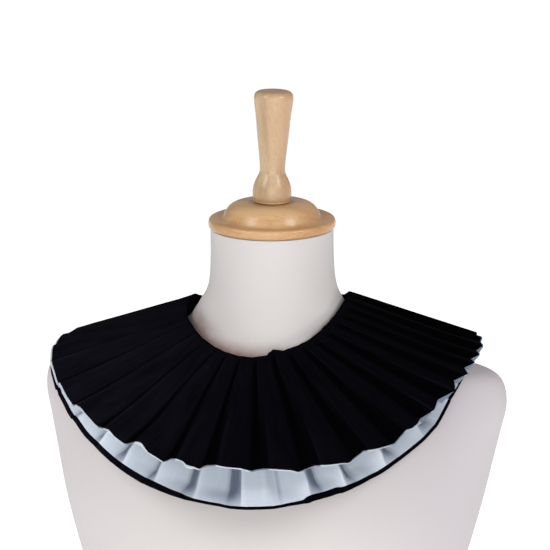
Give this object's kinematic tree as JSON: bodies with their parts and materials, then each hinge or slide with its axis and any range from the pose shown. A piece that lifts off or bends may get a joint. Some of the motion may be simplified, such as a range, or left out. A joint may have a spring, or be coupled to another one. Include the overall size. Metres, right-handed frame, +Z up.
{
  "type": "ruff collar on dress form",
  "caption": "Two-tier pleated ruff collar in black and white cloth, worn on a limbless hip-length dress form with a turned wooden neck cap and handle.",
  "frame": {"origin": "centre of the bounding box, on the flat base that the dress form stands on", "axes": "+Z up along the neck, -Y towards the wearer's front, +X towards the wearer's left"},
  "size_m": [0.427, 0.3719, 0.7985],
  "materials": {
    "black_cloth": "matte black crepe cotton, pleated",
    "white_cloth": "matte cool white cotton, pleated",
    "jersey": "smooth off-white cotton jersey stretched over the form",
    "beech": "turned beech under clear satin varnish",
    "hook_wire": "black lacquered wire"
  },
  "bodies": {
    "root": {"upper_frill_black": "black_cloth", "upper_frill_white": "white_cloth", "lower_frill_white": "white_cloth", "lower_frill_black": "black_cloth", "neck_band": "black_cloth", "hook": "hook_wire", "eye": "hook_wire", "form_torso": "jersey", "form_neck_cap": "beech", "form_handle": "beech"}
  },
  "joints": []
}
